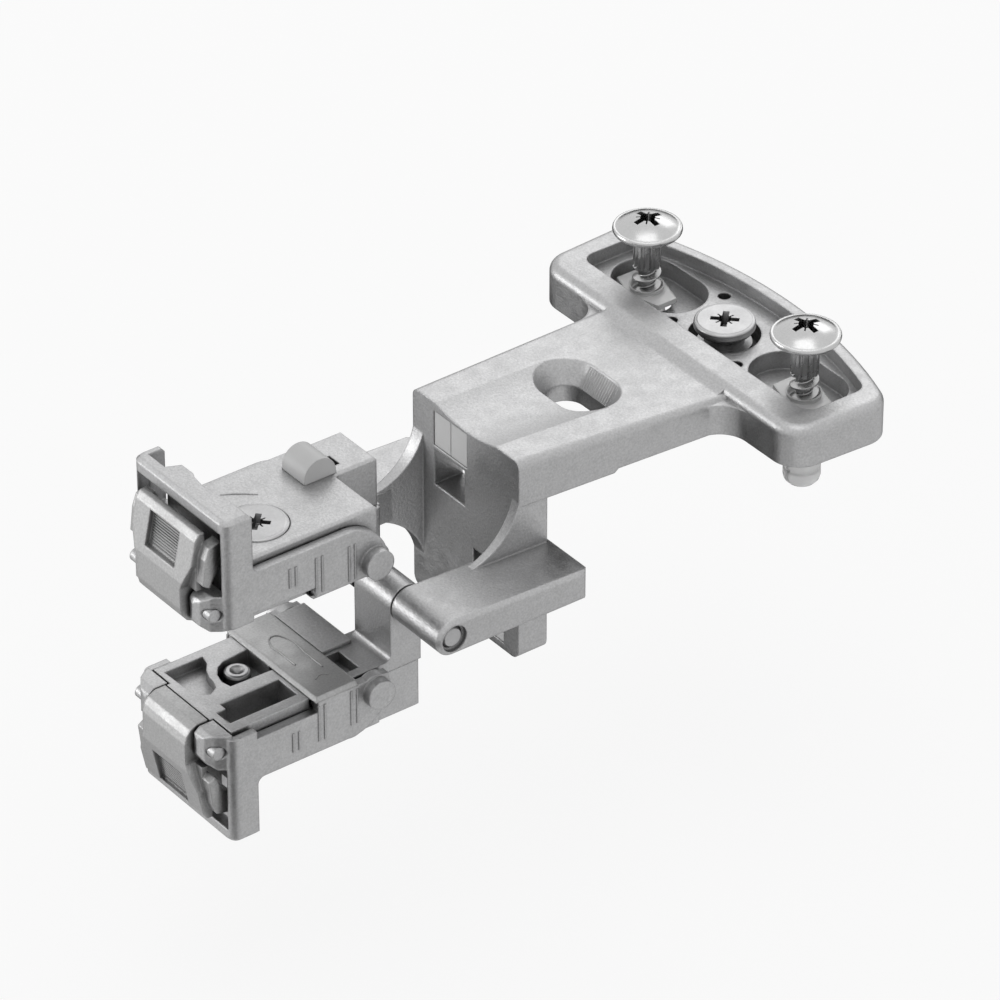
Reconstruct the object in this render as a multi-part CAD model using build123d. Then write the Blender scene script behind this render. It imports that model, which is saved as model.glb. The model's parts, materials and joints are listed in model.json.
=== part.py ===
from build123d import *
import os

# Concealed folding door hinge: a T shaped flange bracket carries one hinge pin,
# and two equal clip-on arms turn about it. Millimetres, +Z up.
# Origin: midway between the two flange screws, on the flange's seating face.

# Flange
SCREW_PITCH = 32.0
FLANGE_H = 5.7
FLANGE_FRONT_X = -10.0
FLANGE_REAR_X = 10.2
FLANGE_REAR_R = 70.0
FLANGE_END = 10.9
FLANGE_FRONT_END = 10.0
FLANGE_CORNER_R = 4.0
FLANGE_EDGE_R = 1.3
POCKET_FRONT_X = -5.3
POCKET_REAR_WALL = 2.2
POCKET_END = 7.0
POCKET_FLOOR_Z = 3.7
OPENING_W = 9.4
OPENING_L = 14.6
OPENING_INSET = 1.9
CAM_HOLE_R = 4.7
SMALL_HOLE_R = 0.85
JUNCTION_R = 4.0
JUNCTION_TOP_Z = 4.3
JUNCTION_FILLET_R = 2.0

# Arm of the bracket
ARM_TOP_FRONT_Z = 6.1
ARM_TOP_REAR_Z = 4.7
ARM_BOTTOM_Z = -0.5
ARM_FRONT_HALF_W = 11.0
ARM_REAR_HALF_W = 13.2
ARM_SKIN = 2.6
RIB_X = -30.5
RIB_T = 1.0
ARM_EDGE_R = 1.2
CHANNEL_HALF_W = 7.2
CHANNEL_R = 22.0
CHANNEL_DEPTH = 1.3
SLOT_X = -23.8
SLOT_TOP_W = 9.1
SLOT_TOP_L = 13.0
SLOT_HOLE_W = 5.2
SLOT_HOLE_L = 9.4
SLOT_FLARE_DEPTH = 3.0

# Pin line and the ears that hold it
PIN_X = -57.2
PIN_Z = -8.9
PIN_R = 1.5
PIN_BORE_R = 1.54
PIN_TIP_BORE_R = 1.85
PIN_TIP_BORE_DEPTH = 0.7
PIN_RECESS = 0.35
BARREL_R = 2.5
EAR_HALF_SPAN = 19.1
EAR_REAR_X = -36.4
EAR_REAR_TOP_Z = -7.3
EAR_REAR_BOTTOM_Z = -11.6
EAR_INNER_Y = 9.5
EAR_EDGE = 0.5
FAR_KNUCKLE_INNER_Y = 6.7

# Upright wall between arm and foot, with its curved cheeks
WALL_FRONT_X = -41.2
WALL_REAR_X = -36.8
WALL_BOTTOM_Z = -23.6
WALL_CORNER_R = 1.5
WALL_TURN_Y = -0.65
CHEEK_RIM_T = 0.9
FAR_CHEEK_ROOT_T = 2.1
NEAR_CHEEK_ROOT_T = 1.45
CHEEK_ARC_R = 9.25
CHEEK_ARC_X = -50.2
CHEEK_ARC_RISE = 11.2
PAD_W = 3.45
PAD_H = 5.1
PAD_TOP_Z = 4.75
PAD_FIRST_Y = 6.6
PAD_DEPTH = 3.6
WINDOW_TOP_Z = -0.9
WINDOW_BOTTOM_Z = -6.2
WINDOW_Y0 = 0.2
WINDOW_Y1 = 6.5

# Flange screws, dowels and cam
SCREW_HEAD_R = 4.55
SCREW_HEAD_H = 2.3
SCREW_RIM_Z = 11.7
SCREW_NECK_R = 1.85
SCREW_NECK_L = 4.1
SCREW_SHANK_R = 1.6
SCREW_RECESS_REACH = 2.1
RECESS_ARM_W = 1.0
SCREW_TIP_Z = -6.0
DOWEL_R = 2.45
DOWEL_BORE_R = 2.0
DOWEL_GROOVE_Z = -0.8
DOWEL_STEP_Z = -8.2
DOWEL_TIP_R = 2.15
DOWEL_BOTTOM_Z = -10.3
DOWEL_PLATE_L = 8.8
DOWEL_PLATE_W = 5.6
DOWEL_PLATE_TOP_Z = 2.6
OPENING_FLOOR_Z = 1.0
CAM_TOP_Z = 5.9
CAM_DISC_R = 4.0
CAM_DISC_T = 1.5
CAM_STEM_R = 2.6

# Clip arm: u along X and v along Z, both from the pin line, outward side up.
CLIP_MID_Y = -1.3
LINK_NEAR_Y = 0.4
LINK_W = 7.5
LINK_WEB_FRONT = -2.6
LINK_WEB_REAR = 2.1
LINK_PLATE_T = 1.5
LINK_PLATE_Y0 = -0.2
INNER_V = 7.8
HOUSING_TOP_V = 16.3
HOUSING_FRONT_U = -23.6
HOUSING_REAR_U = -4.6
HOUSING_HALF_W = 8.25
HOUSING_TOE_U = -27.45
TOE_RISE = 1.4
RAISED_PLATE_T = 0.5
RAISED_PLATE_FRONT = -8.6
RAISED_PLATE_REAR = -4.1
RAISED_PLATE_Y1 = 1.8
BLOCK_REAR_U = 1.7
SIDE_HALF_W = 9.7
SIDE_T = 1.25
SIDE_OUTER_V = 15.2
SIDE_INNER_V = 9.3
SIDE_CURVE_R = 6.0
SIDE_CURVE_U = -10.0
CAP_FRONT_U = -28.0
CAP_REAR_U = -24.0
CAP_OUTER_V = 23.7
CAP_INNER_V = 8.2
CAP_BAR_V = 1.8
CAP_SKIN = 1.0
CAP_CORNER_R = 1.0
CAP_WALL_FRONT_U = -26.2
LUG_INNER_Y = 4.9
BOSS_R = 2.0
BOSS_U = -6.1
BOSS_V = 9.7
BOSS_OUT = 1.4
CLIP_CAM_U = -18.4
CLIP_CAM_Y = -2.5
CLIP_CAM_R = 4.1
CLIP_CAM_STEM_R = 1.4
CLIP_CAM_FOOT_R = 1.75
BUMPER_U = -6.6
BUMPER_Y = 3.0
BUMPER_R = 2.4
BUMPER_L = 4.8
LEVER_TOP_V = 21.0
LEVER_HALF_W = 4.3
LEVER_TOP_HALF_W = 6.2
HOOK_W = 1.5
HOOK_ROOM_U = -25.15
LATCH_PIN_U = -28.8
LATCH_PIN_V = 10.2
LATCH_PIN_HALF_L = 8.4
LATCH_PIN_R = 0.9
LATCH_BORE_R = 0.94
COVER_FRONT_U = -15.2
COVER_REAR_U = -8.8
COVER_FAR_Y = -9.0
COVER_NEAR_Y = 9.75
COVER_T = 0.6

# Sizes that follow from the ones above
CHEEK_RIM_Y = ARM_FRONT_HALF_W - CHEEK_RIM_T
FAR_CHEEK_ROOT_Y = ARM_FRONT_HALF_W - FAR_CHEEK_ROOT_T
NEAR_CHEEK_ROOT_Y = ARM_FRONT_HALF_W - NEAR_CHEEK_ROOT_T
SCREW_Y = SCREW_PITCH / 2
FLANGE_HALF_W = SCREW_Y + FLANGE_END
FLANGE_FRONT_HALF_W = SCREW_Y + FLANGE_FRONT_END
POCKET_HALF_W = SCREW_Y + POCKET_END
OPENING_Y = SCREW_Y - OPENING_INSET

os.makedirs("parts", exist_ok=True)


def span(x0, x1, y0, y1, z0, z1):
    """Block between two corners."""
    return Pos((x0 + x1) / 2, (y0 + y1) / 2, (z0 + z1) / 2) * Box(x1 - x0, y1 - y0, z1 - z0)


def rod_y(x, z, r, y0, y1):
    """Round bar along Y."""
    return Pos(x, (y0 + y1) / 2, z) * Rot(90, 0, 0) * Cylinder(r, y1 - y0)


def rod_z(x, y, r, z0, z1):
    """Round bar along Z."""
    return Pos(x, y, (z0 + z1) / 2) * Cylinder(r, z1 - z0)


def side_profile(points, y0, y1):
    """Plate with a side view given in X and Z, between two Y positions."""
    face = make_face(Polyline([(x, 0, z) for x, z in points], close=True).edges())
    return Pos(0, y0, 0) * extrude(face, amount=y1 - y0, dir=(0, 1, 0))


def plan_profile(points, z0, z1):
    """Plate with a plan view given in X and Y, between two heights."""
    face = make_face(Polyline([(x, y, 0) for x, y in points], close=True).edges())
    return Pos(0, 0, z0) * extrude(face, amount=z1 - z0, dir=(0, 0, 1))


def oblong(x, y, width, length, z0, z1):
    """Oblong bar upright along Z, long way along Y."""
    r = width / 2
    half = length / 2 - r
    bar = span(x - r, x + r, y - half, y + half, z0, z1)
    return bar + rod_z(x, y - half, r, z0, z1) + rod_z(x, y + half, r, z0, z1)


def cross_recess(x, y, z, reach, depth):
    """Cross recess with four broad arms around a deeper middle."""
    half = RECESS_ARM_W / 2
    arms = span(x - reach, x + reach, y - half, y + half, z - depth, z + 1)
    arms += span(x - half, x + half, y - reach, y + reach, z - depth, z + 1)
    core = Pos(x, y, z) * Rot(0, 0, 45) * Box(reach * 0.95, reach * 0.95, depth * 2.5)
    return arms + core


def upright_edges(solid, x0, x1, y0, y1):
    """Vertical edges whose middle lies inside a plan window."""
    found = []
    for e in solid.edges().filter_by(Axis.Z):
        c = e.center()
        if x0 <= c.X <= x1 and y0 <= c.Y <= y1:
            found.append(e)
    return found


# Flange plate with its curved rear edge
rear_mid = FLANGE_REAR_X
arc_drop = FLANGE_REAR_R - (FLANGE_REAR_R**2 - FLANGE_HALF_W**2) ** 0.5
rear_corner_x = rear_mid - arc_drop
outline = Polyline(
    (rear_corner_x, -FLANGE_HALF_W, 0),
    (FLANGE_FRONT_X, -FLANGE_FRONT_HALF_W, 0),
    (FLANGE_FRONT_X, FLANGE_FRONT_HALF_W, 0),
    (rear_corner_x, FLANGE_HALF_W, 0),
)
rear_edge = ThreePointArc(
    (rear_corner_x, FLANGE_HALF_W, 0), (rear_mid, 0, 0), (rear_corner_x, -FLANGE_HALF_W, 0)
)
flange = extrude(make_face(outline.edges() + rear_edge.edges()), amount=FLANGE_H, dir=(0, 0, 1))
flange = fillet(flange.edges().filter_by(Axis.Z), FLANGE_CORNER_R)
flange = fillet(flange.faces().sort_by(Axis.Z)[-1].outer_wire().edges(), FLANGE_EDGE_R)

# Arm of the bracket: tapered in plan, sloping slightly down to the flange
arm_front = WALL_REAR_X - 1.5
arm_back = FLANGE_FRONT_X + 1.0
arm_plan = plan_profile(
    [
        (WALL_FRONT_X, -ARM_FRONT_HALF_W),
        (arm_back, -ARM_REAR_HALF_W),
        (arm_back, ARM_REAR_HALF_W),
        (WALL_FRONT_X, ARM_FRONT_HALF_W),
    ],
    ARM_BOTTOM_Z,
    ARM_TOP_FRONT_Z + 2,
)
arm_side = side_profile(
    [
        (WALL_FRONT_X, ARM_BOTTOM_Z),
        (-27.0, ARM_BOTTOM_Z),
        (-26.4, 0.0),
        (arm_back, 0.0),
        (arm_back, ARM_TOP_REAR_Z),
        (WALL_FRONT_X, ARM_TOP_FRONT_Z),
    ],
    -20,
    20,
)
arm = arm_plan & arm_side
long_top = [
    e
    for e in arm.edges()
    if e.center().Z > 4 and abs(e.center().Y) > 10 and e.length > 20
]
arm = fillet(long_top, ARM_EDGE_R)

# Upright wall, foot corners rounded
wall = span(
    WALL_FRONT_X, WALL_REAR_X, -ARM_FRONT_HALF_W, ARM_FRONT_HALF_W, WALL_BOTTOM_Z, ARM_TOP_FRONT_Z - 1.5
)
foot_edges = [
    e
    for e in wall.edges().filter_by(Axis.X)
    if e.center().Z < WALL_BOTTOM_Z + 1
]
wall = fillet(foot_edges, WALL_CORNER_R)

bracket = flange + arm + wall
# Rounded inside corners between arm and flange
for side in (-1, 1):
    corner_y = side * (ARM_REAR_HALF_W - 0.45)
    web_x = FLANGE_FRONT_X - JUNCTION_R
    web_y = corner_y + side * JUNCTION_R
    y0, y1 = sorted((corner_y - side * 0.5, web_y))
    web = span(web_x, FLANGE_FRONT_X + 0.5, y0, y1, 0, JUNCTION_TOP_Z)
    bracket += web - rod_z(web_x, web_y, JUNCTION_R, -1, 9)
# Hollow rounding that leads from the top of the arm up to the flange's rounded edge
edge_x, edge_z = FLANGE_FRONT_X + FLANGE_EDGE_R, FLANGE_H - FLANGE_EDGE_R
hollow_z = ARM_TOP_REAR_Z + 0.07 + JUNCTION_FILLET_R
reach = ((JUNCTION_FILLET_R + FLANGE_EDGE_R) ** 2 - (hollow_z - edge_z) ** 2) ** 0.5
hollow_x = edge_x - reach
share = FLANGE_EDGE_R / (JUNCTION_FILLET_R + FLANGE_EDGE_R)
rise_end = ARM_REAR_HALF_W - ARM_EDGE_R
rise = span(
    hollow_x, edge_x - 0.2, -rise_end, rise_end, ARM_TOP_REAR_Z - 0.5, edge_z + share * (hollow_z - edge_z)
)
bracket += rise - rod_y(hollow_x, hollow_z, JUNCTION_FILLET_R, -20, 20)

# Ears on both sides at pin height
ear_points = [
    (PIN_X, PIN_Z + BARREL_R),
    (EAR_REAR_X, EAR_REAR_TOP_Z),
    (EAR_REAR_X, EAR_REAR_BOTTOM_Z),
    (PIN_X, PIN_Z - BARREL_R),
]
for side in (-1, 1):
    y_in, y_out = sorted((side * EAR_INNER_Y, side * EAR_HALF_SPAN))
    ear = side_profile(ear_points, y_in, y_out) + rod_y(PIN_X, PIN_Z, BARREL_R, y_in, y_out)
    rear_edge_z = [
        e
        for e in ear.edges().filter_by(Axis.Z)
        if abs(abs(e.center().Y) - EAR_HALF_SPAN) < 0.1
    ]
    ear = chamfer(rear_edge_z, 0.8)
    rim = [
        e
        for e in ear.edges()
        if abs(abs(e.center().Y) - EAR_HALF_SPAN) < 0.05
    ]
    ear = chamfer(rim, EAR_EDGE)
    bracket += ear
    # Curved cheek joining ear, wall and arm, thinner towards its free edge
    root_y = FAR_CHEEK_ROOT_Y if side > 0 else NEAR_CHEEK_ROOT_Y
    cheek = plan_profile(
        [
            (CHEEK_ARC_X, side * CHEEK_RIM_Y),
            (WALL_FRONT_X, side * root_y),
            (WALL_FRONT_X + 1, side * root_y),
            (WALL_FRONT_X + 1, side * ARM_FRONT_HALF_W),
            (CHEEK_ARC_X, side * ARM_FRONT_HALF_W),
        ],
        PIN_Z - CHEEK_ARC_RISE,
        PIN_Z + CHEEK_ARC_RISE,
    )
    for updown in (-1, 1):
        cheek -= rod_y(CHEEK_ARC_X, PIN_Z + updown * CHEEK_ARC_RISE, CHEEK_ARC_R, -20, 20)
    bracket += cheek
bracket += rod_y(PIN_X, PIN_Z, BARREL_R, FAR_KNUCKLE_INNER_Y, EAR_INNER_Y + 1)

# Pin bore with a wider mouth at both ends
bracket -= rod_y(PIN_X, PIN_Z, PIN_BORE_R, -30, 30)
for side in (-1, 1):
    y0, y1 = sorted((side * (EAR_HALF_SPAN - PIN_TIP_BORE_DEPTH), side * (EAR_HALF_SPAN + 2)))
    bracket -= rod_y(PIN_X, PIN_Z, PIN_TIP_BORE_R, y0, y1)

# Hollow underside of the arm, with crossed ribs
hollow = plan_profile(
    [(WALL_REAR_X, -8.6), (-14.0, -10.6), (-14.0, 10.6), (WALL_REAR_X, 8.6)], -2, 2.1
)
half_rib = RIB_T / 2
ribs = span(WALL_FRONT_X, FLANGE_FRONT_X, -half_rib, half_rib, -3, 3)
ribs += span(RIB_X - half_rib, RIB_X + half_rib, -ARM_REAR_HALF_W, ARM_REAR_HALF_W, -3, 3)
slot_core = oblong(SLOT_X, 0, SLOT_TOP_W + 2.0, SLOT_TOP_L + 2.0, -3, 3)
bracket -= hollow - ribs - slot_core

# Shallow channel along the top of the arm
channel_x0, channel_x1 = WALL_FRONT_X - 2, SLOT_X + 1
channel = Pos((channel_x0 + channel_x1) / 2, 0, ARM_TOP_FRONT_Z - CHANNEL_DEPTH + CHANNEL_R)
channel = channel * Rot(0, 90 + 3.0, 0) * Cylinder(CHANNEL_R, channel_x1 - channel_x0)
channel_box = span(channel_x0, channel_x1, -CHANNEL_HALF_W, CHANNEL_HALF_W, 3, 9)
bracket -= channel & channel_box

# Countersunk slot across the arm
bracket -= oblong(SLOT_X, 0, SLOT_HOLE_W, SLOT_HOLE_L, -3, 9)
slot_top_z = 5.35
upper_face = oblong(SLOT_X, 0, SLOT_TOP_W, SLOT_TOP_L, slot_top_z, slot_top_z + 0.01)
lower_face = oblong(
    SLOT_X, 0, SLOT_HOLE_W, SLOT_HOLE_L, slot_top_z - SLOT_FLARE_DEPTH, slot_top_z - SLOT_FLARE_DEPTH + 0.01
)
flare = loft([lower_face.faces().sort_by(Axis.Z)[0], upper_face.faces().sort_by(Axis.Z)[-1]])
bracket -= flare
bracket -= oblong(SLOT_X, 0, SLOT_TOP_W, SLOT_TOP_L, slot_top_z, 9)

# Pocket in the flange and the openings through its floor
inner_r = FLANGE_REAR_R - POCKET_REAR_WALL
pocket_rear_mid = FLANGE_REAR_X - POCKET_REAR_WALL
pocket_corner_x = pocket_rear_mid - (inner_r - (inner_r**2 - POCKET_HALF_W**2) ** 0.5)
pocket_line = Polyline(
    (pocket_corner_x, -POCKET_HALF_W, 0),
    (POCKET_FRONT_X, -POCKET_HALF_W, 0),
    (POCKET_FRONT_X, POCKET_HALF_W, 0),
    (pocket_corner_x, POCKET_HALF_W, 0),
)
pocket_arc = ThreePointArc(
    (pocket_corner_x, POCKET_HALF_W, 0), (pocket_rear_mid, 0, 0), (pocket_corner_x, -POCKET_HALF_W, 0)
)
pocket = extrude(make_face(pocket_line.edges() + pocket_arc.edges()), amount=5, dir=(0, 0, 1))
pocket = fillet(pocket.edges().filter_by(Axis.Z), 1.8)
bracket -= Pos(0, 0, POCKET_FLOOR_Z) * pocket
for side in (-1, 1):
    bracket -= oblong(0.6, side * OPENING_Y, OPENING_W, OPENING_L, OPENING_FLOOR_Z, 9)
    bracket -= oblong(0.0, side * SCREW_Y, 2 * DOWEL_R + 0.3, DOWEL_PLATE_L - 1.2, -1, 3)
    bracket -= rod_z(5.6, side * 7.0, SMALL_HOLE_R, -1, 9)
    bracket -= rod_z(-3.4, side * 6.6, SMALL_HOLE_R, -1, 9)
bracket -= rod_z(0, 0, CAM_HOLE_R, OPENING_FLOOR_Z, 9)
bracket -= rod_z(0, 0, CAM_STEM_R + 0.05, -1, 3)

# Openings in the upright wall, once above the pin line and once turned over below it
def turned_over(solid):
    """Half turn about a line along X at pin height."""
    return Pos(0, WALL_TURN_Y, PIN_Z) * Rot(180, 0, 0) * Pos(0, -WALL_TURN_Y, -PIN_Z) * solid


pads_y0 = PAD_FIRST_Y - 2 * PAD_W
pad_seat = span(
    WALL_FRONT_X - 1, WALL_FRONT_X + PAD_DEPTH, pads_y0, PAD_FIRST_Y, PAD_TOP_Z - PAD_H, PAD_TOP_Z
)
window = span(
    WALL_FRONT_X - 1, WALL_FRONT_X + PAD_DEPTH, WINDOW_Y0, WINDOW_Y1, WINDOW_BOTTOM_Z, WINDOW_TOP_Z
)
bracket -= pad_seat + window
bracket -= turned_over(pad_seat + window)
# The upper window opens into the hollow of the arm
bracket -= span(WALL_FRONT_X, WALL_REAR_X + 1, WINDOW_Y0, WINDOW_Y1, WINDOW_BOTTOM_Z, WINDOW_TOP_Z)

nodes = {"t_bracket": bracket}

# Pads flush with the wall, where the bumpers meet it
for i, name in enumerate(("far", "near")):
    y1 = PAD_FIRST_Y - i * PAD_W
    pad = span(
        WALL_FRONT_X + 0.1, WALL_FRONT_X + PAD_DEPTH, y1 - PAD_W + 0.06, y1 - 0.06,
        PAD_TOP_Z - PAD_H + 0.05, PAD_TOP_Z - 0.05,
    )
    nodes[name + "_wall_pad"] = pad
    nodes[("near" if name == "far" else "far") + "_foot_pad"] = turned_over(pad)

# Hinge pin
pin_half = EAR_HALF_SPAN - PIN_RECESS
pin = rod_y(PIN_X, PIN_Z, PIN_R, -pin_half, pin_half)
pin_ends = [e for e in pin.edges() if abs(abs(e.center().Y) - pin_half) < 0.05]
nodes["hinge_pin"] = chamfer(pin_ends, 0.3)

# Flange screws: domed head, thick neck, pointed shank
for side, name in ((-1, "near"), (1, "far")):
    y = side * SCREW_Y
    dome_r = (SCREW_HEAD_R**2 + (SCREW_HEAD_H - 0.7) ** 2) / (2 * (SCREW_HEAD_H - 0.7))
    ball = Pos(0, y, SCREW_RIM_Z + SCREW_HEAD_H - 0.7 - dome_r) * Sphere(dome_r)
    disc = rod_z(0, y, SCREW_HEAD_R, SCREW_RIM_Z - 0.7, SCREW_RIM_Z + SCREW_HEAD_H)
    under = Pos(0, y, SCREW_RIM_Z - 1.1) * Cone(SCREW_NECK_R, SCREW_HEAD_R - 0.2, 0.8)
    neck_z = SCREW_RIM_Z - 1.4 - SCREW_NECK_L
    screw = (disc & ball) + under + rod_z(0, y, SCREW_NECK_R, neck_z, SCREW_RIM_Z - 1.0)
    screw += rod_z(0, y, SCREW_SHANK_R, SCREW_TIP_Z, neck_z + 0.1)
    screw += Pos(0, y, SCREW_TIP_Z - 0.9) * Cone(0.15, SCREW_SHANK_R, 1.8)
    screw -= cross_recess(0, y, SCREW_RIM_Z + SCREW_HEAD_H - 0.7, SCREW_RECESS_REACH, 1.9)
    nodes[name + "_flange_screw"] = screw
    # Dowel with a split flat top plate
    plate_z = DOWEL_PLATE_TOP_Z
    dowel = oblong(0, y, DOWEL_PLATE_W, DOWEL_PLATE_L, OPENING_FLOOR_Z + 0.02, plate_z)
    dowel += rod_z(0, y, DOWEL_R, DOWEL_STEP_Z, plate_z - 0.2)
    dowel += rod_z(0, y, DOWEL_TIP_R, DOWEL_BOTTOM_Z, DOWEL_STEP_Z + 0.1)
    # Groove just below the seating face
    dowel -= rod_z(0, y, DOWEL_R + 1, DOWEL_GROOVE_Z, DOWEL_GROOVE_Z + 0.5) - rod_z(
        0, y, DOWEL_R - 0.2, DOWEL_GROOVE_Z - 1, DOWEL_GROOVE_Z + 1
    )
    dowel -= rod_z(0, y, DOWEL_BORE_R, DOWEL_BOTTOM_Z - 1, 9)
    nodes[name + "_dowel"] = dowel

# Eccentric cam in the middle of the flange
cam = rod_z(0, 0, CAM_DISC_R, CAM_TOP_Z - CAM_DISC_T, CAM_TOP_Z)
cam = chamfer(cam.edges().sort_by(Axis.Z)[-1], 0.25)
cam += rod_z(0, 0, CAM_STEM_R, 0.1, CAM_TOP_Z - 0.2)
cam += rod_z(0, 0, CAM_DISC_R - 0.4, OPENING_FLOOR_Z + 0.05, OPENING_FLOOR_Z + 1.6)
cam -= cross_recess(0, 0, CAM_TOP_Z, SCREW_RECESS_REACH, 1.8)
nodes["flange_cam"] = cam


def build_clip():
    """One clip arm about the pin line at the origin, outward side up."""
    made = {}
    y_lo, y_hi = LINK_NEAR_Y, LINK_NEAR_Y + LINK_W
    top = HOUSING_TOP_V
    plate_v1 = INNER_V + LINK_PLATE_T
    body_v0 = plate_v1 + 0.02

    # Link: barrel on the pin, upright web, plate into the clip
    link = rod_y(0, 0, BARREL_R, y_lo, y_hi)
    link += span(LINK_WEB_FRONT + 0.1, LINK_WEB_REAR, y_lo, y_hi, 0, plate_v1)
    link += span(-14.6, LINK_WEB_REAR - 0.4, LINK_PLATE_Y0, y_hi, INNER_V, plate_v1)
    inside_corner = [
        e
        for e in link.edges().filter_by(Axis.Y)
        if abs(e.center().Z - INNER_V) < 0.05 and abs(e.center().X - LINK_WEB_FRONT - 0.1) < 0.05
    ]
    if inside_corner:
        link = fillet(inside_corner, 0.8)
    link -= span(-8.5, -6.4, 2.2, 6.6, 0, 20)
    link -= rod_y(0, 0, PIN_BORE_R, -20, 20)
    made["link"] = link

    # Housing: body between the side plates, with a tongue over the web
    housing = span(HOUSING_FRONT_U, HOUSING_REAR_U, -HOUSING_HALF_W, HOUSING_HALF_W, body_v0, top)
    housing += span(HOUSING_REAR_U - 1, BLOCK_REAR_U, y_lo, y_hi, body_v0, top)
    housing += span(
        HOUSING_TOE_U, COVER_FRONT_U, -HOUSING_HALF_W, HOUSING_HALF_W, INNER_V, body_v0 + TOE_RISE
    )
    corner = upright_edges(housing, HOUSING_REAR_U - 0.1, HOUSING_REAR_U + 0.1, y_lo - 0.1, y_lo + 0.1)
    if corner:
        housing = fillet(corner, 0.6)
    rim = [
        e
        for e in housing.faces().sort_by(Axis.Z)[-1].outer_wire().edges()
        if e.center().X > HOUSING_FRONT_U + 0.1
    ]
    housing = chamfer(rim, 0.3)
    # Filling beside the link, with a raised plate that laps over it
    far_y1 = LINK_PLATE_Y0 - 0.1
    housing += span(COVER_FRONT_U, HOUSING_REAR_U, -HOUSING_HALF_W, far_y1, INNER_V, body_v0 + 0.1)
    raised_v0 = INNER_V - RAISED_PLATE_T
    housing += span(
        RAISED_PLATE_FRONT, RAISED_PLATE_REAR, -HOUSING_HALF_W, far_y1, raised_v0, body_v0 + 0.1
    )
    housing += span(
        RAISED_PLATE_FRONT, RAISED_PLATE_REAR, far_y1 - 1, RAISED_PLATE_Y1, raised_v0, INNER_V - 0.02
    )
    # Round pocket of the adjusting cam, its bore and the pocket of its foot
    housing -= rod_z(CLIP_CAM_U, CLIP_CAM_Y, CLIP_CAM_R + 0.06, top - 1.0, top + 1)
    housing -= rod_z(CLIP_CAM_U, CLIP_CAM_Y, CLIP_CAM_STEM_R + 0.05, body_v0 - 3, top)
    foot_pocket = plan_profile(
        [
            (COVER_FRONT_U + 0.1, -4.9), (-19.1, -4.5), (-20.3, -3.9), (-21.3, -2.6),
            (-21.7, -1.0), (-21.4, 0.4), (COVER_FRONT_U + 0.1, 0.6),
        ],
        INNER_V - 1,
        INNER_V + 2.4,
    )
    housing -= foot_pocket
    # Seat of the bumper and the slot beside it
    half = BUMPER_L / 2
    housing -= span(
        BUMPER_U - BUMPER_R, BUMPER_U + BUMPER_R, BUMPER_Y - half, BUMPER_Y + half, top - 1.2, top + 1
    )
    housing -= span(BUMPER_U + 2.9, BUMPER_U + 3.9, BUMPER_Y - 1.0, BUMPER_Y + 1.2, top - 1.6, top + 1)
    # Hollows of the inner side: long deep pocket and curved pocket
    housing -= span(-24.6, COVER_FRONT_U - 0.6, 2.7, 6.7, INNER_V - 1, INNER_V + 5.0)
    housing -= span(-26.0, -24.0, 3.9, 6.7, INNER_V - 1, INNER_V + 1.6)
    curved = plan_profile(
        [
            (-26.2, -6.9), (-20.5, -6.9), (-20.8, -5.5), (-21.8, -4.2), (-22.25, -3.0),
            (-22.4, -1.9), (-22.9, -0.5), (-24.3, 0.3), (-25.5, -0.4), (-26.0, -1.6),
        ],
        INNER_V - 1,
        INNER_V + 1.5,
    )
    housing -= curved
    # Room for the corner lugs of the frame
    for side in (-1, 1):
        y0, y1 = sorted((side * (LUG_INNER_Y - 0.3), side * 9.5))
        housing -= span(HOUSING_TOE_U - 3.5, HOUSING_TOE_U + 0.55, y0, y1, 0, 13)
    made["housing"] = housing

    # Adjusting cam: disc on the outside, stem, and a peened foot on the inner side
    cam_top = top + 0.25
    clip_cam = rod_z(CLIP_CAM_U, CLIP_CAM_Y, CLIP_CAM_R, top - 1.0, cam_top)
    clip_cam = chamfer(clip_cam.edges().sort_by(Axis.Z)[-1], 0.2)
    clip_cam += rod_z(CLIP_CAM_U, CLIP_CAM_Y, CLIP_CAM_STEM_R, INNER_V + 1.0, top - 0.5)
    foot = rod_z(CLIP_CAM_U, CLIP_CAM_Y, CLIP_CAM_FOOT_R, INNER_V + 0.4, INNER_V + 2.35)
    foot = chamfer(foot.edges().sort_by(Axis.Z)[0], 0.4)
    clip_cam += foot
    clip_cam -= cross_recess(CLIP_CAM_U, CLIP_CAM_Y, cam_top, SCREW_RECESS_REACH, 1.6)
    clip_cam -= Pos(CLIP_CAM_U, CLIP_CAM_Y, INNER_V + 0.7) * Cone(0.9, 0.1, 1.0)
    made["adjusting_cam"] = clip_cam

    # Soft bumper: half round bar lying across the outside
    bumper = span(
        BUMPER_U - BUMPER_R + 0.05, BUMPER_U + BUMPER_R - 0.05,
        BUMPER_Y - half + 0.05, BUMPER_Y + half - 0.05, top - 1.15, top + 0.5,
    )
    cap_bar = rod_y(BUMPER_U, top + 0.5, BUMPER_R - 0.05, BUMPER_Y - half + 0.05, BUMPER_Y + half - 0.05)
    bumper += cap_bar & span(-20, 20, -20, 20, top + 0.4, top + 9)
    made["bumper"] = bumper

    # Cover plate across the inner side, near and front edges bevelled
    cover = span(
        COVER_FRONT_U, COVER_REAR_U, COVER_FAR_Y, COVER_NEAR_Y, INNER_V - COVER_T, INNER_V - 0.02
    )
    bevel = [
        e
        for e in cover.edges()
        if e.center().Z < INNER_V - COVER_T + 0.05
        and (e.center().X < COVER_FRONT_U + 0.05 or e.center().Y > COVER_NEAR_Y - 0.05)
    ]
    made["cover_plate"] = chamfer(bevel, 0.45)

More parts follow.
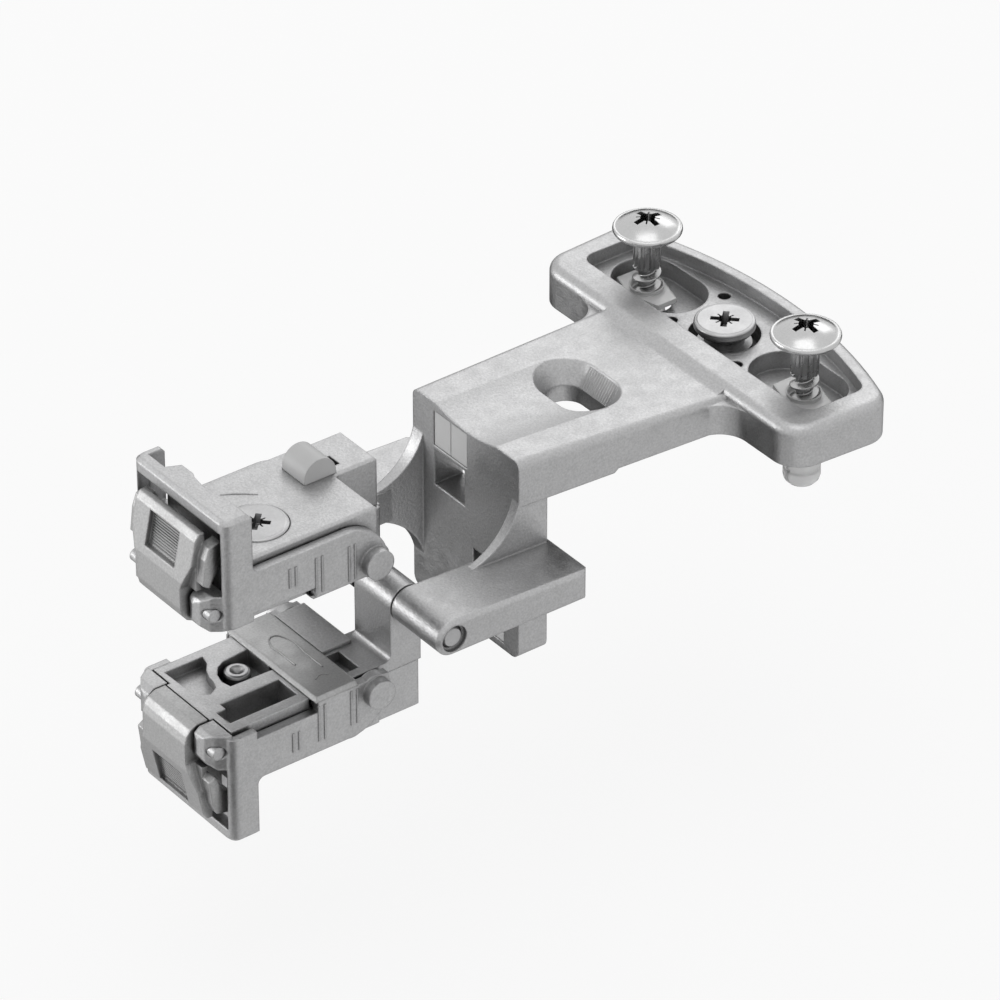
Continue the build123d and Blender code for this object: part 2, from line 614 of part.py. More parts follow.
    # Frame: two side plates and the end cap in one piece
    frame = None
    for side in (-1, 1):
        y0, y1 = sorted((side * (SIDE_HALF_W - SIDE_T), side * SIDE_HALF_W))
        plate = span(CAP_REAR_U - 1, SIDE_CURVE_U, y0, y1, SIDE_INNER_V, SIDE_OUTER_V)
        plate += rod_y(SIDE_CURVE_U, SIDE_OUTER_V - SIDE_CURVE_R, SIDE_CURVE_R, y0, y1)
        plate -= span(-30, 0, y0 - 1, y1 + 1, 0, INNER_V)
        plate -= span(-30, -14.8, y0 - 1, y1 + 1, 0, SIDE_INNER_V)
        plate += span(-14.8, -8.6, y0, y1, INNER_V, SIDE_INNER_V + 1)
        plate += rod_y(BOSS_U, BOSS_V, BOSS_R + 0.3, y0, y1)
        # Rounded inside corner behind the cap
        corner_u, corner_v = CAP_REAR_U + CAP_CORNER_R, SIDE_OUTER_V + CAP_CORNER_R
        plate += span(CAP_REAR_U - 1, corner_u, y0, y1, SIDE_OUTER_V - 0.3, corner_v) - rod_y(
            corner_u, corner_v, CAP_CORNER_R, y0 - 1, y1 + 1
        )
        b0, b1 = sorted((side * (SIDE_HALF_W - 1), side * (SIDE_HALF_W + BOSS_OUT)))
        plate += rod_y(BOSS_U, BOSS_V, BOSS_R, b0, b1)
        # Fine double ribs on the outside
        for u, v0, v1 in ((-18.2, 10.8, 13.6), (-14.3, 8.4, 13.6), (-9.4, 8.2, 13.3)):
            for du in (-0.45, 0.45):
                r0, r1 = sorted((side * (SIDE_HALF_W - 0.2), side * (SIDE_HALF_W + 0.12)))
                plate += span(u + du - 0.14, u + du + 0.14, r0, r1, v0, v1)
        frame = plate if frame is None else frame + plate
    cap = span(CAP_FRONT_U, CAP_REAR_U, -SIDE_HALF_W, SIDE_HALF_W, CAP_INNER_V, CAP_OUTER_V)
    cap = fillet(upright_edges(cap, CAP_FRONT_U - 0.1, CAP_FRONT_U + 0.1, -20, 20), 1.4)
    top_edges = [e for e in cap.edges() if e.center().Z > CAP_OUTER_V - 0.05]
    cap = chamfer(top_edges, 0.5)
    # Hollow behind the lever, room for the housing's toe, curved rear of the top bar
    inside = SIDE_HALF_W - CAP_SKIN
    cap -= span(
        CAP_FRONT_U - 1, CAP_WALL_FRONT_U, -inside, inside, CAP_INNER_V - 1, CAP_OUTER_V - CAP_BAR_V
    )
    cap -= span(
        CAP_FRONT_U - 1, CAP_REAR_U + 1, -inside, inside, CAP_INNER_V - 1, body_v0 + TOE_RISE + 0.03
    )
    rear_cut = plan_profile(
        [
            (-20.0, -9.0), (-23.9, -9.0), (-24.6, -4.7), (-25.1, -1.1), (-24.8, 1.0),
            (-24.3, 2.1), (-24.4, 4.1), (-25.3, 4.5), (-26.4, 5.0), (-26.4, 8.5), (-20.0, 8.5),
        ],
        HOUSING_TOP_V,
        CAP_OUTER_V + 1,
    )
    cap -= rear_cut
    # Slope from the bar down to the top of the housing
    cap += side_profile(
        [
            (CAP_WALL_FRONT_U, HOUSING_TOP_V - 0.5), (-23.7, HOUSING_TOP_V - 0.5), (-23.7, HOUSING_TOP_V),
            (-24.5, HOUSING_TOP_V + 1.2), (-25.1, HOUSING_TOP_V + 3.6), (CAP_WALL_FRONT_U, HOUSING_TOP_V + 3.6),
        ],
        -8.6,
        4.4,
    )
    # Room behind the lever's near hook
    hook_y = LEVER_TOP_HALF_W + HOOK_W
    cap -= span(
        CAP_FRONT_U, HOOK_ROOM_U, -hook_y - 0.3, -LEVER_TOP_HALF_W + 0.5, SIDE_OUTER_V + 0.4, CAP_OUTER_V - 2.6
    )
    frame += cap
    # Rounded corner lugs that hold the latch pin
    for side in (-1, 1):
        lug = plan_profile(
            [
                (-27.2, side * LUG_INNER_Y), (-30.0, side * LUG_INNER_Y), (-30.2, side * 5.6),
                (-29.9, side * 6.8), (-29.1, side * 7.9), (-28.0, side * 8.7), (-27.2, side * 9.0),
            ],
            INNER_V,
            14.0,
        )
        lug = lug & side_profile(
            [
                (-26.0, INNER_V), (-29.2, INNER_V), (-30.0, 8.4), (-30.3, 9.3), (-30.3, 11.0),
                (-29.8, 12.0), (-28.8, 12.8), (-26.0, 12.8),
            ],
            -20,
            20,
        )
        frame += lug
    frame -= rod_y(LATCH_PIN_U, LATCH_PIN_V, LATCH_BORE_R, -20, 20)
    made["frame"] = frame

    # Latch lever in front of the cap, turning on its own pin
    outline = [
        (-27.75, 7.7),
        (-29.3, 7.7),
        (-30.3, 8.2),
        (-30.9, 9.0),
        (-31.2, 10.1),
        (-31.2, 14.0),
        (-29.9, 20.2),
        (-29.3, LEVER_TOP_V),
        (-28.5, LEVER_TOP_V),
        (-28.5, 19.4),
        (-29.2, 14.0),
        (-29.0, 12.8),
        (-28.1, 12.0),
        (-27.75, 10.8),
    ]
    lever = side_profile(outline, -LEVER_TOP_HALF_W, LEVER_TOP_HALF_W)
    for side in (-1, 1):
        y0, y1 = sorted((side * (LUG_INNER_Y - 0.35), side * 12))
        lever -= span(LATCH_PIN_U - 6.2, LATCH_PIN_U + 3.8, y0, y1, 0, LATCH_PIN_V + 2.9)
        corner = [
            (side * (LUG_INNER_Y - 0.35), 13.0),
            (side * 12.0, 13.0),
            (side * 12.0, 16.8),
            (side * LEVER_TOP_HALF_W, 16.8),
        ]
        face = make_face(Polyline([(-29.9, y, v) for y, v in corner], close=True).edges())
        lever -= extrude(face, amount=5, dir=(-1, 0, 0))
        # Hooked wing behind the lever's edge
        y0, y1 = sorted((side * (LEVER_TOP_HALF_W - 0.2), side * (LEVER_TOP_HALF_W + HOOK_W)))
        lever += side_profile(
            [
                (-29.9, 14.6), (-29.0, 14.0), (-27.6, 16.6), (-26.8, 17.0), (-26.6, 19.2),
                (-27.2, 20.0), (-28.9, 19.6), (-29.5, 18.0),
            ],
            y0,
            y1,
        )
    # Stepped window in the lever's face
    lever -= side_profile(
        [(-35, 15.2), (-30.2, 15.2), (-29.9, 16.6), (-29.6, 18.0), (-29.35, 20.0), (-35, 20.0)], -3.1, 3.1
    )
    lever -= rod_y(LATCH_PIN_U, LATCH_PIN_V, LATCH_BORE_R, -20, 20)
    made["latch_lever"] = lever
    made["latch_pin"] = rod_y(
        LATCH_PIN_U, LATCH_PIN_V, LATCH_PIN_R, -LATCH_PIN_HALF_L, LATCH_PIN_HALF_L
    )
    return made


clip = build_clip()
for name, solid in clip.items():
    nodes["upper_" + name] = Pos(PIN_X, CLIP_MID_Y, PIN_Z) * solid
    nodes["lower_" + name] = Pos(PIN_X, CLIP_MID_Y, PIN_Z) * Rot(180, 0, 0) * solid

for name, solid in nodes.items():
    export_step(solid, "parts/" + name + ".step")
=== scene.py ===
import bpy
import bmesh
import json
import math
from mathutils import Matrix, Vector

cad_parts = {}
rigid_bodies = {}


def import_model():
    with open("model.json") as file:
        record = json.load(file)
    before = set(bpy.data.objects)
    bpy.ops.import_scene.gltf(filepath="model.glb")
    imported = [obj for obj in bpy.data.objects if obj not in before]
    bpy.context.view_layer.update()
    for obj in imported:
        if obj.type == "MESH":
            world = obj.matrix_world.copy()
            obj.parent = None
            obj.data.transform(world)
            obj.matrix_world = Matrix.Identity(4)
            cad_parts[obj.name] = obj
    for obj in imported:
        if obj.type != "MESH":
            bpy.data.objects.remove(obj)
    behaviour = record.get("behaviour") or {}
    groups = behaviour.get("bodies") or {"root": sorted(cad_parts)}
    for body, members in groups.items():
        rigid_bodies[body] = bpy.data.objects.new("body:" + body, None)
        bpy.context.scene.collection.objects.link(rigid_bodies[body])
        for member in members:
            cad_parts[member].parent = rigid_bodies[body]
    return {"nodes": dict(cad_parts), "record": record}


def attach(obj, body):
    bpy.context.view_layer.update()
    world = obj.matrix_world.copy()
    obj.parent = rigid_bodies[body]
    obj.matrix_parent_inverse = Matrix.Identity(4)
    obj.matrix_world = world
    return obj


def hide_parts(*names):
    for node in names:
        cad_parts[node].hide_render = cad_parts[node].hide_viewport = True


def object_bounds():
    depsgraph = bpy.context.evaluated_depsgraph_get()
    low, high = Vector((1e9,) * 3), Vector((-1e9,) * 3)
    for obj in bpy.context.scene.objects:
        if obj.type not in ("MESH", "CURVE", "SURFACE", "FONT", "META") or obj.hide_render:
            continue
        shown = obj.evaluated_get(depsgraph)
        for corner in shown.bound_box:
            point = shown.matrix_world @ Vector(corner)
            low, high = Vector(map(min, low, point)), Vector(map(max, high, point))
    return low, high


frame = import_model()
cad_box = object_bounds()
nodes = frame["nodes"]
MM = 0.001


# Camera at the photograph's viewing angle
camera_data = bpy.data.cameras.new("camera")
camera_data.sensor_width = 36.0
camera_data.sensor_fit = "HORIZONTAL"
camera_data.lens = 234.0
camera_data.clip_start = 0.05
camera_data.clip_end = 20.0
camera = bpy.data.objects.new("camera", camera_data)
camera.location = (-0.44442, -0.54026, 0.44697)
camera.rotation_euler = (math.radians(56.15), 0.0, math.radians(-37.1))
bpy.context.scene.collection.objects.link(camera)
bpy.context.scene.camera = camera


# Materials, with noise scales for each metre, and depths, radii and reaches in metres
SPECKLE_SCALE = 3600.0
SAND_SCALE = 2800.0
PATCH_SCALE = 420.0
WAVE_SCALE = 260.0
WAVE_DEPTH = 0.000008
ROUGHNESS_SWING = 0.05
# Reach of the painted shade in recesses
RECESS_SHADE_REACH = 0.0022
PLASTIC_CLOUD_SCALE = 300.0
PLASTIC_GRAIN_SCALE = 1800.0
PLASTIC_GRAIN_DEPTH = 0.000005
PLASTIC_EDGE = 0.0003
PLASTIC_SHADE = 0.95


def new_material(name):
    """A material with its tree, its shader and the object's own coordinates."""
    material = bpy.data.materials.new(name)
    material.use_nodes = True
    tree = material.node_tree
    shader = tree.nodes["Principled BSDF"]
    place = tree.nodes.new("ShaderNodeTexCoord")
    return material, tree, shader, place.outputs["Object"]


def noise(tree, place, scale, detail, roughness):
    """Cloudy value that varies over the object."""
    texture = tree.nodes.new("ShaderNodeTexNoise")
    texture.inputs["Scale"].default_value = scale
    texture.inputs["Detail"].default_value = detail
    texture.inputs["Roughness"].default_value = roughness
    tree.links.new(place, texture.inputs["Vector"])
    return texture.outputs["Fac"]


def spread(tree, value, low, high, start=0.35, end=0.65):
    """A value that runs from low to high while the given one runs from start to end."""
    reach = tree.nodes.new("ShaderNodeMapRange")
    reach.inputs["From Min"].default_value = start
    reach.inputs["From Max"].default_value = end
    reach.inputs["To Min"].default_value = low
    reach.inputs["To Max"].default_value = high
    tree.links.new(value, reach.inputs["Value"])
    return reach.outputs["Result"]


def tone(tree, value, first, last):
    """Two colours mixed by a value."""
    ramp = tree.nodes.new("ShaderNodeValToRGB")
    ramp.color_ramp.elements[0].color = (*first, 1.0)
    ramp.color_ramp.elements[1].color = (*last, 1.0)
    ramp.color_ramp.elements[0].position = 0.3
    ramp.color_ramp.elements[1].position = 0.7
    tree.links.new(value, ramp.inputs["Fac"])
    return ramp.outputs["Color"]


def soft_edges(tree, radius):
    """A normal that rounds sharp edges."""
    edge = tree.nodes.new("ShaderNodeBevel")
    edge.samples = 4
    edge.inputs["Radius"].default_value = radius
    return edge.outputs["Normal"]


def grain(tree, heights, normal):
    """Fine relief laid over a normal, one bump for each height and depth."""
    for height, depth in heights:
        bump = tree.nodes.new("ShaderNodeBump")
        bump.inputs["Strength"].default_value = 1.0
        bump.inputs["Distance"].default_value = depth
        tree.links.new(height, bump.inputs["Height"])
        tree.links.new(normal, bump.inputs["Normal"])
        normal = bump.outputs["Normal"]
    return normal


def painted_recess_shade(tree, colour):
    """A colour darkened in narrow recesses by painted shade."""
    crevice = tree.nodes.new("ShaderNodeAmbientOcclusion")
    crevice.samples = 6
    crevice.inputs["Distance"].default_value = RECESS_SHADE_REACH
    shade = tree.nodes.new("ShaderNodeMix")
    shade.data_type = "RGBA"
    shade.blend_type = "MULTIPLY"
    shade.inputs["Factor"].default_value = 1.0
    tree.links.new(colour, shade.inputs["A"])
    level = spread(tree, crevice.outputs["AO"], low=0.3, high=1.0, start=0.05, end=0.85)
    tree.links.new(level, shade.inputs["B"])
    return shade.outputs["Result"]


def metal(name, colour, roughness, sand_depth=0.00004, edge=0.00035, mottle=0.11):
    """Plated casting or steel: speckled tone with painted shade in recesses, sandy grain, slow waves and
    rounded edges.
    """
    material, tree, shader, place = new_material(name)
    dark = [c * (1.0 - mottle) for c in colour]
    light = [min(1.0, c * (1.0 + mottle)) for c in colour]
    speckle = noise(tree, place, SPECKLE_SCALE, detail=2.0, roughness=0.6)
    # Speckled tone, darkened in recesses by painted shade
    tree.links.new(painted_recess_shade(tree, tone(tree, speckle, dark, light)), shader.inputs["Base Color"])
    shader.inputs["Metallic"].default_value = 1.0
    patchy = noise(tree, place, PATCH_SCALE, detail=3.0, roughness=0.6)
    sheen = spread(tree, patchy, roughness - ROUGHNESS_SWING, roughness + ROUGHNESS_SWING)
    tree.links.new(sheen, shader.inputs["Roughness"])
    fine = noise(tree, place, SAND_SCALE, detail=2.0, roughness=0.55)
    wavy = noise(tree, place, WAVE_SCALE, detail=2.0, roughness=0.5)
    normal = grain(tree, [(fine, sand_depth), (wavy, WAVE_DEPTH)], soft_edges(tree, edge))
    tree.links.new(normal, shader.inputs["Normal"])
    return material


def plastic(name, colour, roughness, transmission=0.0):
    """Moulded plastic with a faintly cloudy tone and a fine grain."""
    material, tree, shader, place = new_material(name)
    cloud = noise(tree, place, PLASTIC_CLOUD_SCALE, detail=3.0, roughness=0.5)
    dark = [c * PLASTIC_SHADE for c in colour]
    tree.links.new(tone(tree, cloud, dark, colour), shader.inputs["Base Color"])
    shader.inputs["Roughness"].default_value = roughness
    if transmission:
        shader.inputs["Transmission Weight"].default_value = transmission
        shader.inputs["IOR"].default_value = 1.45
    fine = noise(tree, place, PLASTIC_GRAIN_SCALE, detail=2.0, roughness=0.5)
    normal = grain(tree, [(fine, PLASTIC_GRAIN_DEPTH)], soft_edges(tree, PLASTIC_EDGE))
    tree.links.new(normal, shader.inputs["Normal"])
    return material


# The fine finishes keep the crisp edges of teeth, ribs and turned pieces
CRISP_EDGE = 0.00003
TURNED_EDGE = 0.00012
SMOOTH_SAND = 0.000004
BRACKET_GREY = (0.44, 0.44, 0.443)
LATCH_GREY = (0.42, 0.42, 0.42)

bracket_metal = metal("plated_bracket", BRACKET_GREY, 0.42)
bracket_fine = metal(
    "plated_bracket_fine", BRACKET_GREY, 0.40, sand_depth=SMOOTH_SAND, edge=CRISP_EDGE, mottle=0.05
)
housing_metal = metal("plated_housing", (0.46, 0.46, 0.463), 0.44)
frame_metal = metal("plated_frame", (0.45, 0.45, 0.453), 0.42)
cover_metal = metal("cover_sheet", (0.38, 0.38, 0.38), 0.42, sand_depth=0.000006)
latch_metal = metal("latch_steel", LATCH_GREY, 0.46, sand_depth=0.00003)
latch_fine = metal(
    "latch_steel_fine", LATCH_GREY, 0.42, sand_depth=SMOOTH_SAND, edge=CRISP_EDGE, mottle=0.05
)
pin_metal = metal(
    "turned_steel", (0.42, 0.42, 0.423), 0.36, sand_depth=SMOOTH_SAND, edge=TURNED_EDGE, mottle=0.05
)
screw_metal = metal(
    "polished_screw", (0.52, 0.52, 0.52), 0.25, sand_depth=0.000001, edge=TURNED_EDGE, mottle=0.03
)
clear_plastic = plastic("clear_dowel", (0.93, 0.93, 0.93), 0.22, transmission=0.35)
bumper_plastic = plastic("white_bumper", (0.55, 0.55, 0.55), 0.45)
pad_plastic = plastic("grey_pad", (0.62, 0.62, 0.62), 0.5)

finishes = {
    "satin_casting": bracket_metal,
    "housing_casting": housing_metal,
    "frame_casting": frame_metal,
    "cover_steel": cover_metal,
    "latch_steel": latch_metal,
    "pin_steel": pin_metal,
    "screw_steel": screw_metal,
    "clear_plastic": clear_plastic,
    "white_bumper": bumper_plastic,
    "grey_pad": pad_plastic,
}
for entry in frame["record"]["subparts"]:
    node = nodes[entry["node"]]
    node.data.materials.clear()
    node.data.materials.append(finishes[entry["material_slot"]])

# The latch pins are plated with the frame
for side in ("upper", "lower"):
    nodes[side + "_latch_pin"].data.materials[0] = frame_metal


# Small parts built over the CAD, in millimetres
def turned(profile, sides=64):
    """Solid of revolution about Z from a chain of radius and height."""
    shape = bmesh.new()
    chain = [shape.verts.new((r, 0.0, z)) for r, z in profile]
    edges = [shape.edges.new(pair) for pair in zip(chain, chain[1:])]
    bmesh.ops.spin(
        shape,
        geom=chain + edges,
        cent=(0, 0, 0),
        axis=(0, 0, 1),
        dvec=(0, 0, 0),
        angle=math.tau,
        steps=sides,
        use_merge=True,
        use_duplicate=False,
    )
    bmesh.ops.remove_doubles(shape, verts=shape.verts, dist=0.0005)
    return shape


def block(shape, x0, x1, y0, y1, z0, z1):
    """Box between two corners, added to a shape."""
    made = bmesh.ops.create_cube(shape, size=1.0)
    bmesh.ops.scale(shape, verts=made["verts"], vec=(x1 - x0, y1 - y0, z1 - z0))
    box_middle = ((x0 + x1) / 2, (y0 + y1) / 2, (z0 + z1) / 2)
    bmesh.ops.translate(shape, verts=made["verts"], vec=box_middle)
    return made["verts"]


def swing(shape, verts, angle, axis="Z"):
    """Turn points of a shape about an axis through its origin."""
    bmesh.ops.rotate(shape, verts=verts, cent=(0, 0, 0), matrix=Matrix.Rotation(angle, 3, axis))


def joined(shape, other):
    """The other shape's faces added to a shape."""
    mesh = bpy.data.meshes.new("joined")
    other.to_mesh(mesh)
    other.free()
    shape.from_mesh(mesh)
    bpy.data.meshes.remove(mesh)


def as_object(name, shape):
    """Object with the shape's faces, turned to point outwards."""
    mesh = bpy.data.meshes.new(name)
    bmesh.ops.recalc_face_normals(shape, faces=shape.faces)
    shape.to_mesh(mesh)
    shape.free()
    return bpy.data.objects.new(name, mesh)


def cut_away(target, tool):
    """The target's mesh with the tool's volume removed."""
    scene_items = bpy.context.scene.collection.objects
    scene_items.link(target)
    scene_items.link(tool)
    cut = target.modifiers.new("cut", "BOOLEAN")
    cut.operation = "DIFFERENCE"
    cut.solver = "EXACT"
    cut.use_self = True
    cut.object = tool
    bpy.context.view_layer.update()
    seen = bpy.context.evaluated_depsgraph_get()
    mesh = bpy.data.meshes.new_from_object(target.evaluated_get(seen))
    bpy.data.objects.remove(target)
    bpy.data.objects.remove(tool)
    result = bmesh.new()
    result.from_mesh(mesh)
    bpy.data.meshes.remove(mesh)
    bmesh.ops.remove_doubles(result, verts=result.verts, dist=0.0001)
    result.verts.index_update()
    # Pairs of faces back to back are left inside the solid by the cut
    groups = {}
    for face in result.faces:
        groups.setdefault(frozenset(v.index for v in face.verts), []).append(face)
    pairs = [face for group in groups.values() if len(group) > 1 for face in group]
    bmesh.ops.delete(result, geom=pairs, context="FACES")
    return result


def finish_piece(name, shape, material, body, slot, place=(0, 0, 0), flip=False, smooth=30.0):
    """Put a shape in millimetres at its place in the frame, riding on a body."""
    if flip:
        swing(shape, shape.verts, math.pi, "X")
    bmesh.ops.translate(shape, verts=shape.verts, vec=place)
    bmesh.ops.scale(shape, verts=shape.verts, vec=(MM, MM, MM))
    piece = as_object(name, shape)
    bpy.context.scene.collection.objects.link(piece)
    piece.data.materials.append(material)
    piece.data.shade_smooth()
    piece.data.set_sharp_from_angle(angle=math.radians(smooth))
    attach(piece, body)
    return piece


# Cutter for a cross recess: first its sizes in millimetres, then shares of its width, reach and depth
RECESS_ARM_HALF_W = 0.46
RECESS_LINE_HALF_W = 0.10
CUTTER_RISE = 1.0
HOLE_EXTRA_DEPTH = 1.4
HOLE_RISE = 0.5
ARM_FOOT_WIDTH = 0.7
ARM_FOOT_REACH = 0.62
LINE_REACH = 0.86
LINE_FOOT_REACH = 0.5
LINE_DEPTH = 0.5
HOLE_FOOT_R = 0.34
HOLE_TOP_R = 0.46


def cross_tool(top, reach, depth):
    """Four tapered arms, four fine lines between them and a round middle."""
    tool = bmesh.new()
    above = top + CUTTER_RISE
    for turn in range(4):
        arm = block(tool, 0.0, reach, -RECESS_ARM_HALF_W, RECESS_ARM_HALF_W, top - depth, above)
        for v in arm:
            if v.co.z < top:
                v.co.x = min(v.co.x, reach * ARM_FOOT_REACH)
                v.co.y *= ARM_FOOT_WIDTH
        swing(tool, arm, turn * math.pi / 2)
        line = block(
            tool,
            0.0, reach * LINE_REACH,
            -RECESS_LINE_HALF_W, RECESS_LINE_HALF_W,
            top - depth * LINE_DEPTH, above,
        )
        for v in line:
            if v.co.z < top:
                v.co.x = min(v.co.x, reach * LINE_FOOT_REACH)
        swing(tool, line, (turn + 0.5) * math.pi / 2)
    hole = bmesh.ops.create_cone(
        tool,
        cap_ends=True,
        segments=32,
        radius1=reach * HOLE_FOOT_R,
        radius2=reach * HOLE_TOP_R,
        depth=depth + HOLE_EXTRA_DEPTH,
    )
    bmesh.ops.translate(tool, verts=hole["verts"], vec=(0, 0, top - depth / 2 + HOLE_RISE))
    return tool


# Flange screws: domed head with a rim bead, fluted neck, coarse thread
SCREW_Y = 16.0
HEAD_LINE = [
    (0.0, 13.3), (0.9, 13.24), (1.8, 13.07), (2.6, 12.82), (3.3, 12.5), (3.85, 12.18), (4.1, 12.0),
    (4.2, 11.98), (4.32, 12.02), (4.45, 11.95), (4.53, 11.8), (4.55, 11.6), (4.5, 11.4), (4.38, 11.25),
    (4.1, 11.1), (3.4, 10.8), (2.6, 10.45), (1.8, 10.2), (0.0, 10.2),
]
HEAD_RECESS = dict(top=13.2, reach=2.35, depth=2.0)
NECK_R = 1.82
NECK_LENGTH = 4.3
NECK_MIDDLE_Z = 8.25
FLUTE_STEP = 30.0
FLUTE_ANGLE = 11.0
FLUTE_SHARE = 0.91
SHANK_LINE = [(0.0, -7.8), (0.2, -7.8), (1.12, -5.6), (1.12, 6.3), (0.0, 6.3)]
THREAD_SECTION = [(1.0, -4.0), (1.86, -3.62), (1.9, -3.5), (1.86, -3.38), (1.0, -2.9)]
THREAD_TURNS = 5.5
THREAD_PITCH = 1.75
STEPS_PER_TURN = 40


def add_fluted_neck(screw):
    """Neck below the head, with a flute at each step round it."""
    neck = bmesh.ops.create_cone(
        screw, cap_ends=True, segments=60, radius1=NECK_R, radius2=NECK_R, depth=NECK_LENGTH
    )
    bmesh.ops.translate(screw, verts=neck["verts"], vec=(0, 0, NECK_MIDDLE_Z))
    for v in neck["verts"]:
        turn = math.degrees(math.atan2(v.co.y, v.co.x)) % FLUTE_STEP
        if turn < FLUTE_ANGLE:
            v.co.x *= FLUTE_SHARE
            v.co.y *= FLUTE_SHARE


def wound_thread():
    """Closed ridge wound up along the shank."""
    thread = bmesh.new()
    ridge = [thread.verts.new((r, 0, z)) for r, z in THREAD_SECTION]
    edges = [thread.edges.new(pair) for pair in zip(ridge, ridge[1:] + ridge[:1])]
    bmesh.ops.spin(
        thread,
        geom=ridge + edges,
        cent=(0, 0, 0),
        axis=(0, 0, 1),
        dvec=(0, 0, THREAD_PITCH / STEPS_PER_TURN),
        angle=math.tau * THREAD_TURNS,
        steps=int(STEPS_PER_TURN * THREAD_TURNS),
        use_duplicate=False,
    )
    bmesh.ops.holes_fill(thread, edges=[e for e in thread.edges if e.is_boundary], sides=8)
    return thread


for sign, name in ((-1, "near"), (1, "far")):
    head = as_object("head", turned(HEAD_LINE))
    screw = cut_away(head, as_object("recess", cross_tool(**HEAD_RECESS)))
    add_fluted_neck(screw)
    joined(screw, turned(SHANK_LINE, 32))
    joined(screw, wound_thread())
    piece = finish_piece(
        name + "_screw_detail", screw, screw_metal, "bracket", "screw_steel", (0, sign * SCREW_Y, 0)
    )
    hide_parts(name + "_flange_screw")


# Middle of the hinge pin, from which the clips' own millimetres u, y and v are measured
PIN_MIDDLE = (-57.2, -1.3, -8.9)


def clip_place(upper):
    """Where a clip's shape goes, and whether it is turned over."""
    return dict(place=PIN_MIDDLE, flip=not upper)


# Cams with a cross recess and a fine edge, in the flange and in each clip
CAM_RECESS_REACH = 2.15
MIDDLE_CAM_TOP = 5.9
MIDDLE_CAM_LINE = [
    (0.0, MIDDLE_CAM_TOP), (3.5, MIDDLE_CAM_TOP), (3.62, 5.84), (3.78, 5.82), (3.92, 5.74), (3.98, 5.6),
    (4.0, 5.35), (4.0, 4.95), (3.9, 4.8), (3.66, 4.72), (3.6, 4.4), (2.6, 4.4), (2.6, 2.65), (3.6, 2.65),
    (3.6, 1.05), (2.6, 1.05), (2.6, 0.12), (0.0, 0.12),
]
CLIP_CAM_TOP = 16.55
CLIP_CAM_AT = (-18.4, -2.5, 0)
CLIP_CAM_LINE = [
    (0.0, CLIP_CAM_TOP), (3.55, CLIP_CAM_TOP), (3.66, 16.5), (3.85, 16.5), (4.02, 16.4), (4.1, 16.2),
    (4.1, 15.32), (1.4, 15.32), (1.4, 10.1), (1.75, 10.1), (1.75, 8.65), (1.62, 8.36), (1.35, 8.22),
    (0.95, 8.22), (0.75, 8.4), (0.15, 9.3), (0.0, 9.3),
]
# Below the usual angle for smooth shading, so that the flat tops aren't shaded as domes
CAM_SMOOTH = 12.0


def recessed_cam(line, top, depth):
    """Turned cam whose cross recess stands at 45 degrees."""
    cam_body = as_object("cam", turned(line))
    recess = cross_tool(top, CAM_RECESS_REACH, depth)
    swing(recess, recess.verts, math.pi / 4)
    return cut_away(cam_body, as_object("recess", recess))


middle_cam = recessed_cam(MIDDLE_CAM_LINE, MIDDLE_CAM_TOP, depth=1.8)
piece = finish_piece(
    "middle_cam_detail", middle_cam, pin_metal, "middle_cam", "pin_steel", smooth=CAM_SMOOTH
)
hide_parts("flange_cam")

for upper in (True, False):
    side = "upper" if upper else "lower"
    clip_cam = recessed_cam(CLIP_CAM_LINE, CLIP_CAM_TOP, depth=1.2)
    bmesh.ops.translate(clip_cam, verts=clip_cam.verts, vec=CLIP_CAM_AT)
    piece = finish_piece(
        side + "_cam_detail",
        clip_cam,
        pin_metal,
        side + "_cam",
        "pin_steel",
        smooth=CAM_SMOOTH,
        **clip_place(upper),
    )
    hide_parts(side + "_adjusting_cam")


# Dowels: slit body with rings, two-part top plate and a cup round the thread
DOWEL_LINE = [
    (2.0, 2.3), (2.42, 2.3), (2.42, -0.3), (2.25, -0.35), (2.25, -0.75), (2.45, -0.8), (2.45, -5.2),
    (2.28, -5.4), (2.28, -5.7), (2.45, -5.9), (2.45, -7.5), (2.22, -7.65), (2.22, -7.95), (2.42, -8.1),
    (2.42, -9.0), (2.25, -9.6), (1.85, -10.05), (1.35, -10.3), (1.35, -9.0), (2.0, -7.5), (2.0, 2.3),
]
CUP_LINE = [(1.8, 2.4), (2.05, 2.4), (2.35, 3.2), (2.1, 3.2), (1.8, 2.4)]
SLIT_HALF_W = 0.2
SLIT_REACH = 4.0
SLIT_BOTTOM, SLIT_TOP = -12.0, -3.4
LEAF_HALF_W = 2.75
LEAF_GAP_HALF = 0.14
LEAF_REACH = 4.35
LEAF_BOTTOM, LEAF_TOP = 1.9, 2.58
LEAF_TIP_SHARE = 0.55

for sign, name in ((-1, "near"), (1, "far")):
    dowel_body = as_object("dowel", turned(DOWEL_LINE))
    slit = bmesh.new()
    block(slit, -SLIT_REACH, SLIT_REACH, -SLIT_HALF_W, SLIT_HALF_W, SLIT_BOTTOM, SLIT_TOP)
    dowel = cut_away(dowel_body, as_object("slit", slit))
    for end in (-1, 1):
        low_y, high_y = sorted((end * LEAF_GAP_HALF, end * LEAF_REACH))
        leaf = block(dowel, -LEAF_HALF_W, LEAF_HALF_W, low_y, high_y, LEAF_BOTTOM, LEAF_TOP)
        tip = [v for v in leaf if abs(v.co.y) > LEAF_REACH / 2]
        bmesh.ops.scale(dowel, verts=tip, vec=(LEAF_TIP_SHARE, 1.0, 1.0))
    joined(dowel, turned(CUP_LINE, 40))
    piece = finish_piece(
        name + "_dowel_detail", dowel, clear_plastic, "bracket", "clear_plastic", (0, sign * SCREW_Y, 0)
    )
    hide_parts(name + "_dowel")


